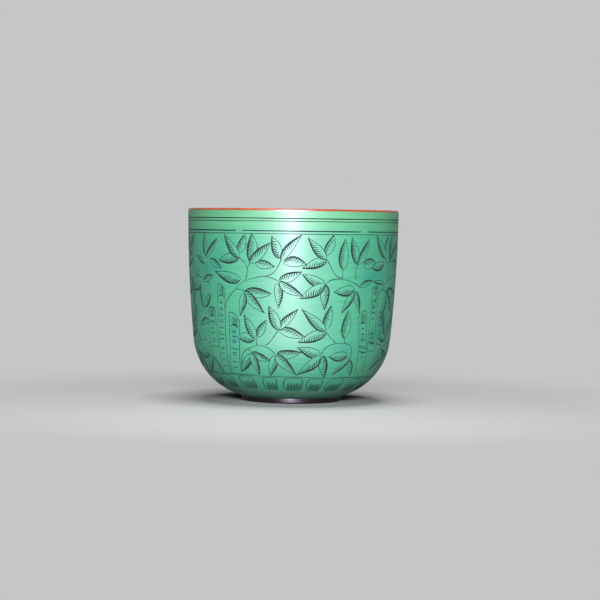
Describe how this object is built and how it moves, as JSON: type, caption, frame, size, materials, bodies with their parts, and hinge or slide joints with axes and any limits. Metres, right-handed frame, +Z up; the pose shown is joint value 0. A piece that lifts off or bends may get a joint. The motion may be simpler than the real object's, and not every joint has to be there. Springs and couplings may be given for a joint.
{
  "type": "lacquered bamboo cup",
  "caption": "Round-heeled drinking cup wound from bamboo splints, lacquered green outside over black with an orange lip and lining, on a low black foot ring.",
  "frame": {"origin": "middle of the foot ring's resting plane, on the cup's axis", "axes": "+Z up the cup's axis, towards the lip; the decoration's front faces -Y"},
  "size_m": [0.076, 0.076, 0.069],
  "materials": {
    "green_lacquer": "semi-gloss green lacquer with fine incised lines",
    "orange_lacquer": "polished orange-red lacquer",
    "black_lacquer": "polished black lacquer",
    "putty": "matte ash and lacquer putty",
    "bamboo": "shaved bamboo splint"
  },
  "bodies": {
    "root": {"green_lacquer": "green_lacquer", "orange_lacquer": "orange_lacquer", "outer_undercoat": "black_lacquer", "inner_undercoat": "black_lacquer", "outer_ground": "putty", "inner_ground": "putty", "rim_hoop": "bamboo", "foot_hoop": "bamboo", "base_coil": "bamboo", "heel_coil": "bamboo", "wall_coil_lower": "bamboo", "wall_coil_upper": "bamboo"}
  },
  "joints": []
}
